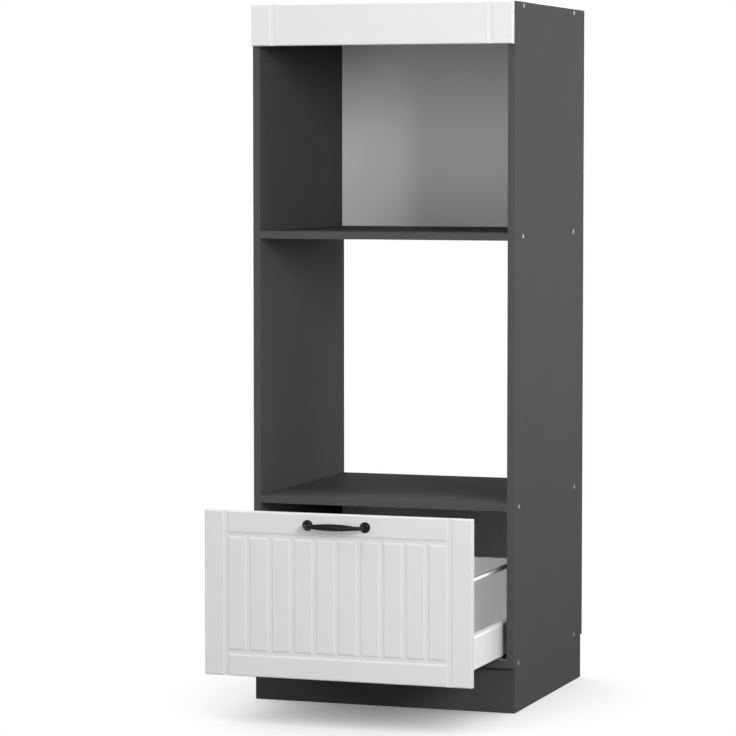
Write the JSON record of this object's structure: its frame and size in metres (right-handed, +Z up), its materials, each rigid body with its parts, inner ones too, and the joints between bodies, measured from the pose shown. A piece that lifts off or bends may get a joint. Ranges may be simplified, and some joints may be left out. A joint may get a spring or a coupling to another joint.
{
  "type": "microwave cabinet",
  "caption": "Tall kitchen housing with a microwave niche, an open-backed oven niche, a milled fascia and a deep slatted drawer on roller runners, on a plinth.",
  "frame": {"origin": "on the floor, in the middle of the bottom front edge of the plinth", "axes": "+X to the right seen from the front, +Y to the rear, +Z up"},
  "size_m": [0.6, 0.8865, 1.536],
  "materials": {
    "anthracite_board": "satin laminated chipboard, anthracite",
    "edging": "satin edging, anthracite",
    "white_mdf": "milled board under a matt white film",
    "white_hardboard": "white-faced hardboard",
    "white_board": "white laminated chipboard",
    "white_steel": "white powder coat",
    "plated_steel": "polished plated tube",
    "zinc": "bright zinc plate",
    "grey_nylon": "moulded nylon",
    "black_metal": "satin black lacquer on a die-cast body",
    "clear_pad": "soft clear stop pad"
  },
  "bodies": {
    "carcass": {"side_left": "anthracite_board", "side_right": "anthracite_board", "top_panel": "anthracite_board", "microwave_shelf": "anthracite_board", "oven_shelf": "anthracite_board", "bottom_panel": "anthracite_board", "back_panel_upper": "white_hardboard", "back_panel_lower": "white_hardboard", "edge_bands": "edging", "fascia": "white_mdf", "fascia_brackets": "zinc", "fascia_screws": "zinc", "plinth_front": "anthracite_board", "plinth_rear": "anthracite_board", "plinth_side_left": "anthracite_board", "plinth_side_right": "anthracite_board", "plinth_corner_brackets": "zinc", "plinth_corner_screws": "zinc", "plinth_top_brackets": "zinc", "plinth_top_screws": "zinc", "confirmats_top": "zinc", "confirmats_microwave_shelf": "zinc", "confirmats_oven_shelf": "zinc", "confirmats_bottom": "zinc", "runner_rail_left": "zinc", "runner_rail_right": "zinc", "runner_screws": "zinc", "front_roller_pins": "zinc"},
    "drawer": {"drawer_front": "white_mdf", "drawer_side_left": "white_steel", "drawer_side_right": "white_steel", "drawer_bottom": "white_board", "drawer_back": "white_board", "back_bracket_left": "white_steel", "back_bracket_right": "white_steel", "back_bracket_screws": "zinc", "front_brackets": "zinc", "front_bracket_screws": "zinc", "drawer_bottom_screws": "zinc", "gallery_rail_left": "plated_steel", "gallery_rail_right": "plated_steel", "rail_sockets_front": "grey_nylon", "rail_sockets_rear": "grey_nylon", "rail_socket_screws": "zinc", "rear_roller_pins": "zinc", "handle": "black_metal", "handle_screws": "zinc", "stop_pads": "clear_pad"},
    "front_roller_left": {"front_roller_left": "grey_nylon"},
    "front_roller_right": {"front_roller_right": "grey_nylon"},
    "rear_roller_left": {"rear_roller_left": "grey_nylon"},
    "rear_roller_right": {"rear_roller_right": "grey_nylon"}
  },
  "joints": [
    {"name": "drawer_slide", "type": "slide", "parent": "carcass", "child": "drawer", "axis": [0, -1, 0], "range_m": [-0.281, 0.064]},
    {"name": "front_roller_left_spin", "type": "hinge", "parent": "carcass", "child": "front_roller_left", "pos_m": [-0.2653, 0.009, 0.1258], "axis": [1, 0, 0], "continuous": true},
    {"name": "front_roller_right_spin", "type": "hinge", "parent": "carcass", "child": "front_roller_right", "pos_m": [0.2653, 0.009, 0.1258], "axis": [1, 0, 0], "continuous": true},
    {"name": "rear_roller_left_spin", "type": "hinge", "parent": "drawer", "child": "rear_roller_left", "pos_m": [-0.2599, 0.143, 0.1258], "axis": [1, 0, 0], "continuous": true},
    {"name": "rear_roller_right_spin", "type": "hinge", "parent": "drawer", "child": "rear_roller_right", "pos_m": [0.2599, 0.143, 0.1258], "axis": [1, 0, 0], "continuous": true}
  ],
  "couplings": [
    {"joint": "front_roller_left_spin", "follows": "drawer_slide", "rad_per_m": 125},
    {"joint": "front_roller_right_spin", "follows": "drawer_slide", "rad_per_m": 125},
    {"joint": "rear_roller_left_spin", "follows": "drawer_slide", "rad_per_m": 125},
    {"joint": "rear_roller_right_spin", "follows": "drawer_slide", "rad_per_m": 125}
  ]
}
